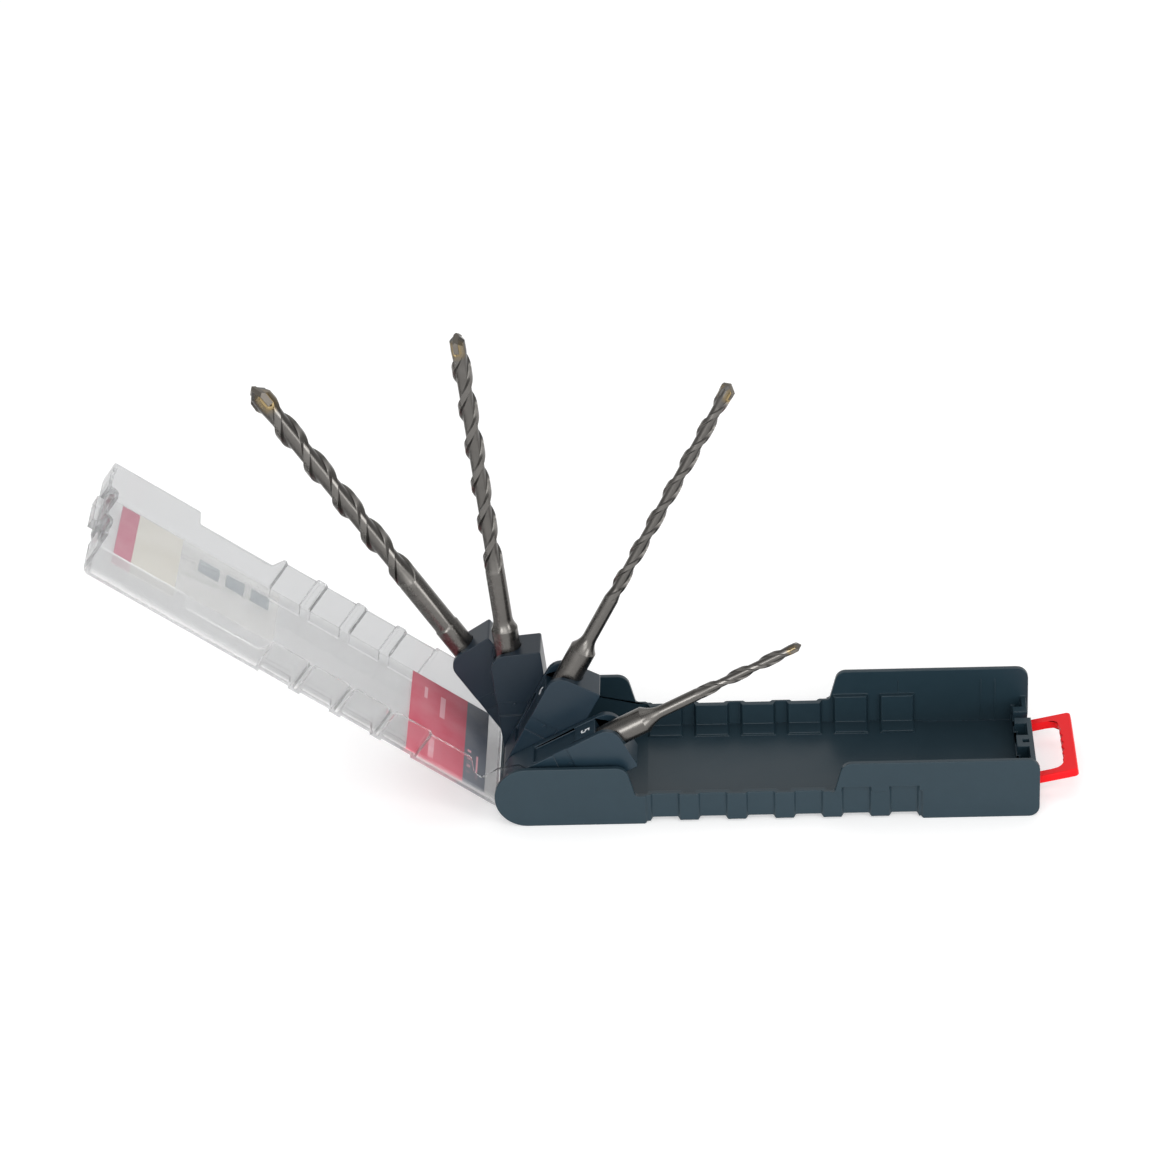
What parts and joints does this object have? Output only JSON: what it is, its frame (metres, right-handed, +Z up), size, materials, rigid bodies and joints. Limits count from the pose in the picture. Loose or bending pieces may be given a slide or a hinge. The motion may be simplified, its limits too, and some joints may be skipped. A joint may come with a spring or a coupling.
{
  "type": "drill bit case",
  "caption": "Hinged drill bit case: open tray, clear lid with end catch, swinging bit holders on one axle, hammer drill bits and a pull latch.",
  "frame": {"origin": "middle of the flat underside of the tray, on the surface that the case rests on", "axes": "+X from the hinge end to the latch end, +Y to the back of the case as the picture sees it, +Z up"},
  "size_m": [0.3669, 0.07, 0.1862],
  "materials": {
    "tray": "fine satin moulding, dark blue grey",
    "axle": "plain drawn rod",
    "clear_plastic": "clear polished moulding",
    "label_red": "printed sheet, red with a dark grey end",
    "label_white": "printed sheet, pale with a red end",
    "holder_navy": "fine satin moulding",
    "holder_blue": "fine satin moulding",
    "holder_slate": "fine satin moulding",
    "holder_petrol": "fine satin moulding",
    "bit_steel": "blasted and rolled hardened steel",
    "carbide": "ground carbide",
    "latch_red": "soft gloss red moulding"
  },
  "bodies": {
    "tray": {"base_tray": "tray", "hinge_axle": "axle"},
    "lid": {"lid_cover": "clear_plastic", "hinge_label": "label_red", "front_label": "label_white"},
    "swing_10": {"holder_10": "holder_navy"},
    "swing_8": {"holder_8": "holder_blue"},
    "swing_6": {"holder_6": "holder_slate"},
    "swing_5": {"holder_5": "holder_petrol"},
    "drill_10": {"bit_10": "bit_steel", "carbide_10": "carbide"},
    "drill_8": {"bit_8": "bit_steel", "carbide_8": "carbide"},
    "drill_6": {"bit_6": "bit_steel", "carbide_6": "carbide"},
    "drill_5": {"bit_5": "bit_steel", "carbide_5": "carbide"},
    "latch": {"pull_latch": "latch_red"}
  },
  "joints": [
    {"name": "lid_hinge", "type": "hinge", "parent": "tray", "child": "lid", "pos_m": [-0.08975, 0, 0.01225], "axis": [0, 1, 0], "range_deg": [0, 144.6]},
    {"name": "swing_10_hinge", "type": "hinge", "parent": "tray", "child": "swing_10", "pos_m": [-0.08975, 0.02319, 0.01225], "axis": [0, 1, 0], "range_deg": [0, 123]},
    {"name": "swing_8_hinge", "type": "hinge", "parent": "tray", "child": "swing_8", "pos_m": [-0.08975, 0.00773, 0.01225], "axis": [0, 1, 0], "range_deg": [0, 95.8]},
    {"name": "swing_6_hinge", "type": "hinge", "parent": "tray", "child": "swing_6", "pos_m": [-0.08975, -0.00773, 0.01225], "axis": [0, 1, 0], "range_deg": [0, 62.4]},
    {"name": "swing_5_hinge", "type": "hinge", "parent": "tray", "child": "swing_5", "pos_m": [-0.08975, -0.02319, 0.01225], "axis": [0, 1, 0], "range_deg": [0, 27.6]},
    {"name": "drill_10_slide", "type": "slide", "parent": "swing_10", "child": "drill_10", "axis": [-0.5446, 0, 0.8387], "range_m": [0, 0.006]},
    {"name": "drill_8_slide", "type": "slide", "parent": "swing_8", "child": "drill_8", "axis": [-0.1011, 0, 0.9949], "range_m": [0, 0.006]},
    {"name": "drill_6_slide", "type": "slide", "parent": "swing_6", "child": "drill_6", "axis": [0.4633, 0, 0.8862], "range_m": [0, 0.006]},
    {"name": "drill_5_slide", "type": "slide", "parent": "swing_5", "child": "drill_5", "axis": [0.8862, 0, 0.4633], "range_m": [0, 0.045]},
    {"name": "latch_hinge", "type": "hinge", "parent": "tray", "child": "latch", "pos_m": [0.10075, 0, 0.00666], "axis": [0, 1, 0], "range_deg": [-78, 0]}
  ],
  "couplings": [
    {"joint": "swing_10_hinge", "follows": "lid_hinge", "ratio": 0.85062},
    {"joint": "swing_8_hinge", "follows": "lid_hinge", "ratio": 0.66252},
    {"joint": "swing_6_hinge", "follows": "lid_hinge", "ratio": 0.43154},
    {"joint": "swing_5_hinge", "follows": "lid_hinge", "ratio": 0.19087}
  ]
}
